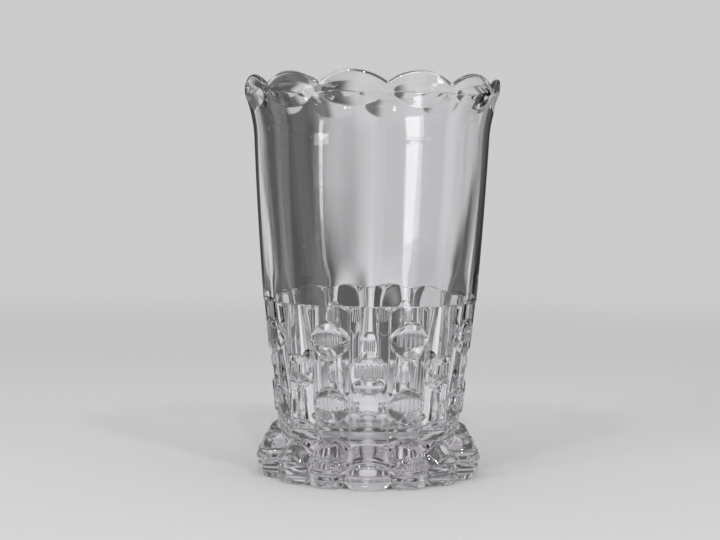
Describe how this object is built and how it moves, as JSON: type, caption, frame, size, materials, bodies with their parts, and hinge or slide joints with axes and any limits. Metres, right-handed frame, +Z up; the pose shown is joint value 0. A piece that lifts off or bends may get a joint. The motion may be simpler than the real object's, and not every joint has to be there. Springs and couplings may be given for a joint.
{
  "type": "celery vase",
  "caption": "Tall clear pressed-glass celery vase with a flared scalloped rim, a plain upper wall, staggered columns with ribbed bosses below, and a lobed foot.",
  "frame": {"origin": "centre of the circle that the foot rests on, on the table", "axes": "+Z up along the vase's axis, -Y towards the side that the picture shows"},
  "size_m": [0.107, 0.107, 0.165],
  "materials": {
    "glass": "clear pressed soda glass, fire polished, with a faint lilac tint"
  },
  "bodies": {
    "root": {"plain_wall": "glass", "bowl_floor": "glass", "rim_scallop_01": "glass", "rim_scallop_02": "glass", "rim_scallop_03": "glass", "rim_scallop_04": "glass", "rim_scallop_05": "glass", "rim_scallop_06": "glass", "rim_scallop_07": "glass", "rim_scallop_08": "glass", "rim_scallop_09": "glass", "rim_scallop_10": "glass", "rim_scallop_11": "glass", "rim_scallop_12": "glass", "column_01": "glass", "column_02": "glass", "column_03": "glass", "column_04": "glass", "column_05": "glass", "column_06": "glass", "column_07": "glass", "column_08": "glass", "column_09": "glass", "column_10": "glass", "column_11": "glass", "column_12": "glass", "column_13": "glass", "column_14": "glass", "column_15": "glass", "column_16": "glass", "foot_lobe_01": "glass", "foot_lobe_02": "glass", "foot_lobe_03": "glass", "foot_lobe_04": "glass", "foot_lobe_05": "glass", "foot_lobe_06": "glass", "foot_lobe_07": "glass", "foot_lobe_08": "glass", "foot_lobe_09": "glass", "foot_lobe_10": "glass", "foot_lobe_11": "glass", "foot_lobe_12": "glass", "foot_lobe_13": "glass", "foot_lobe_14": "glass", "foot_lobe_15": "glass", "foot_lobe_16": "glass"}
  },
  "joints": []
}
